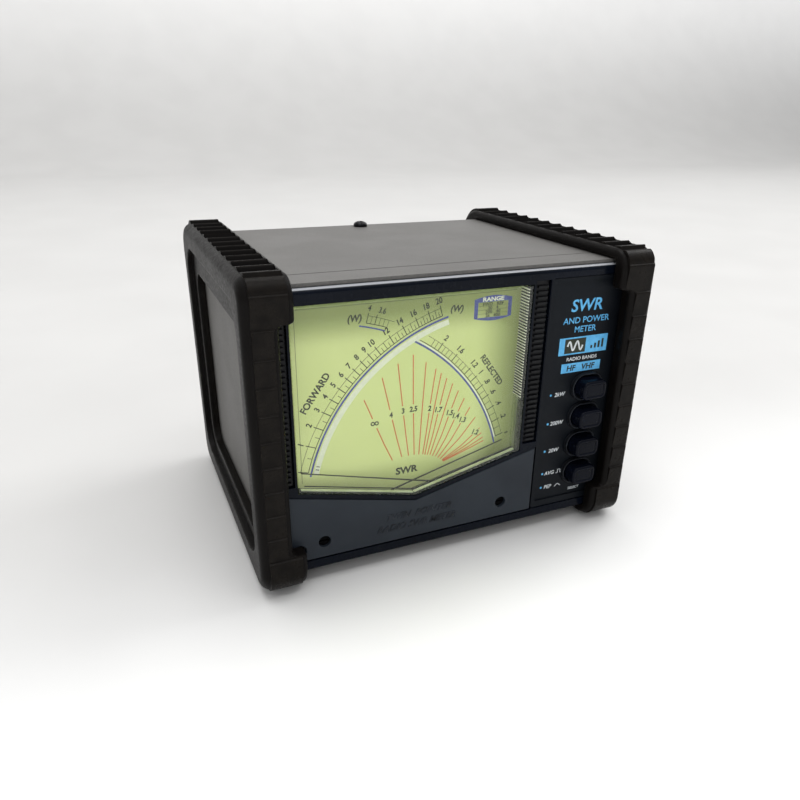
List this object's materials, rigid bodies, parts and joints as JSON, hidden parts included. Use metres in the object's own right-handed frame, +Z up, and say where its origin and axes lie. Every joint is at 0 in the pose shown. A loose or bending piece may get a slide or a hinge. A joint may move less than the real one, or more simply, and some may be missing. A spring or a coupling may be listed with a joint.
{
  "type": "swr and power meter",
  "caption": "Bench SWR and power meter: grey metal case between two ribbed end bumpers, cross-needle dial, push buttons and rear coaxial sockets.",
  "frame": {"origin": "on the bench under the middle of the case, at the level of the feet", "axes": "+X to the right of someone facing the dial, +Y to the rear, +Z up"},
  "size_m": [0.165, 0.135, 0.1228],
  "materials": {
    "bumper": "satin moulded, dark brown-black",
    "rubber": "matte",
    "grey_paint": "fine-textured grey paint",
    "navy_plastic": "semi-gloss navy black",
    "slate_plastic": "satin dark slate",
    "black_plastic": "satin black",
    "clear": "clear moulding",
    "dial": "printed pale yellow-green",
    "pale_housing": "matte off-white",
    "needle": "painted black",
    "winding": "enamelled winding",
    "magnet_steel": "plain steel",
    "bulb": "clear bulb",
    "board": "green circuit board",
    "cast_aluminium": "die-cast",
    "nickel": "nickel-plated",
    "insulator": "white insulator",
    "brass": "plated brass",
    "black_steel": "black zinc"
  },
  "bodies": {
    "case": {"bumper_left": "bumper", "bumper_right": "bumper", "foot_front_left": "rubber", "foot_front_right": "rubber", "foot_rear_left": "rubber", "foot_rear_right": "rubber", "bumper_screw_upper_left": "black_steel", "bumper_screw_upper_right": "black_steel", "bumper_screw_lower_left": "black_steel", "bumper_screw_lower_right": "black_steel", "cover_screw": "black_steel", "top_cover": "grey_paint", "front_frame": "grey_paint", "chassis_tray": "grey_paint", "rear_panel": "grey_paint", "front_bezel": "navy_plastic", "lower_bezel_cover": "slate_plastic", "grille_left": "black_plastic", "grille_right": "black_plastic", "control_panel": "slate_plastic", "meter_window": "clear", "bezel_screw": "black_steel", "collar_2kw": "black_plastic", "collar_200w": "black_plastic", "collar_20w": "black_plastic", "collar_average_peak": "black_plastic", "switch_2kw": "black_plastic", "switch_200w": "black_plastic", "switch_20w": "black_plastic", "switch_average_peak": "black_plastic", "switch_board": "board", "meter_housing": "pale_housing", "dial_plate": "dial", "forward_magnet": "magnet_steel", "reflected_magnet": "magnet_steel", "dial_lamp_left": "bulb", "dial_lamp_right": "bulb", "antenna_socket_shell": "nickel", "antenna_socket_nut": "nickel", "antenna_socket_insulator": "insulator", "antenna_socket_contact": "brass", "transmitter_socket_shell": "nickel", "transmitter_socket_nut": "nickel", "transmitter_socket_insulator": "insulator", "transmitter_socket_contact": "brass", "coupler_box": "cast_aluminium", "coupler_lid": "cast_aluminium", "lamp_power_jack": "black_plastic"},
    "forward_pointer": {"forward_needle": "needle", "forward_coil": "winding"},
    "reflected_pointer": {"reflected_needle": "needle", "reflected_coil": "winding"},
    "button_2kw": {"button_2kw": "navy_plastic"},
    "button_200w": {"button_200w": "navy_plastic"},
    "button_20w": {"button_20w": "navy_plastic"},
    "button_average_peak": {"button_average_peak": "navy_plastic"},
    "zero_adjust_forward": {"zero_adjust_forward": "black_plastic"},
    "zero_adjust_reflected": {"zero_adjust_reflected": "black_plastic"}
  },
  "joints": [
    {"name": "forward_needle_swing", "type": "hinge", "parent": "case", "child": "forward_pointer", "pos_m": [0.016, -0.0546, 0.0248], "axis": [0, 1, 0], "range_deg": [0, 64], "stiffness_Nm_per_rad": 0.0005},
    {"name": "reflected_needle_swing", "type": "hinge", "parent": "case", "child": "reflected_pointer", "pos_m": [-0.0552, -0.0538, 0.0229], "axis": [0, -1, 0], "range_deg": [0, 64], "stiffness_Nm_per_rad": 0.0005},
    {"name": "button_2kw_press", "type": "slide", "parent": "case", "child": "button_2kw", "axis": [0, 1, 0], "range_m": [0, 0.003], "stiffness_N_per_m": 400, "springref_m": -0.002},
    {"name": "button_200w_press", "type": "slide", "parent": "case", "child": "button_200w", "axis": [0, 1, 0], "range_m": [0, 0.003], "stiffness_N_per_m": 400, "springref_m": -0.002},
    {"name": "button_20w_press", "type": "slide", "parent": "case", "child": "button_20w", "axis": [0, 1, 0], "range_m": [0, 0.003], "stiffness_N_per_m": 400, "springref_m": -0.002},
    {"name": "button_average_peak_press", "type": "slide", "parent": "case", "child": "button_average_peak", "axis": [0, 1, 0], "range_m": [0, 0.003], "stiffness_N_per_m": 400, "springref_m": -0.002},
    {"name": "zero_adjust_forward_turn", "type": "hinge", "parent": "case", "child": "zero_adjust_forward", "pos_m": [0.02125, -0.058, 0.0179], "axis": [0, 1, 0], "range_deg": [-45, 45]},
    {"name": "zero_adjust_reflected_turn", "type": "hinge", "parent": "case", "child": "zero_adjust_reflected", "pos_m": [-0.05655, -0.058, 0.0179], "axis": [0, 1, 0], "range_deg": [-45, 45]}
  ]
}
